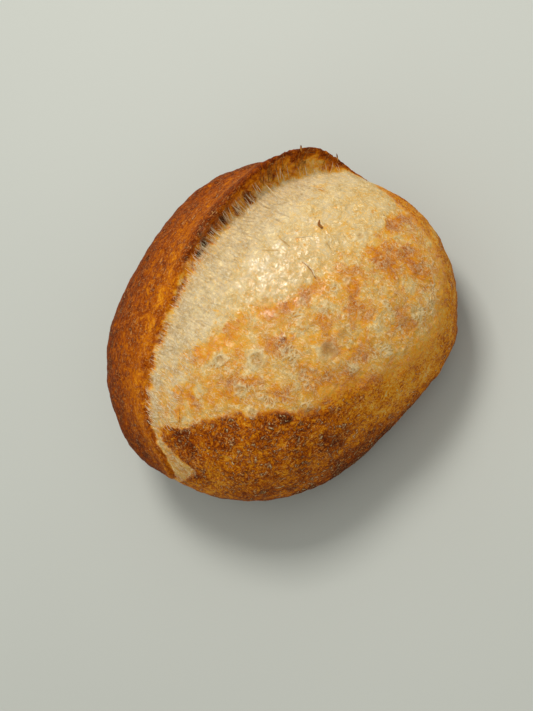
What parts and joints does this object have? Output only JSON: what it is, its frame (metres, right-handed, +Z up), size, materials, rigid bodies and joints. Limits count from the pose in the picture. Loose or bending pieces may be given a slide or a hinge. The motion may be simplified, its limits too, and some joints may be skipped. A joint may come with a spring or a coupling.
{
  "type": "country loaf",
  "caption": "Small oval country loaf with one long slash whose crust has lifted into an ear beside a pale swollen bloom, on a flat base",
  "frame": {"origin": "middle of the flat base that the loaf rests on", "axes": "+X runs along the slash towards the end where the ear is highest, +Y points to the side the ear stands on, +Z is up"},
  "size_m": [0.1595, 0.1448, 0.0806],
  "materials": {
    "crust": "baked bread crust, matte with a slight sheen"
  },
  "bodies": {
    "root": {"loaf": "crust"}
  },
  "joints": []
}
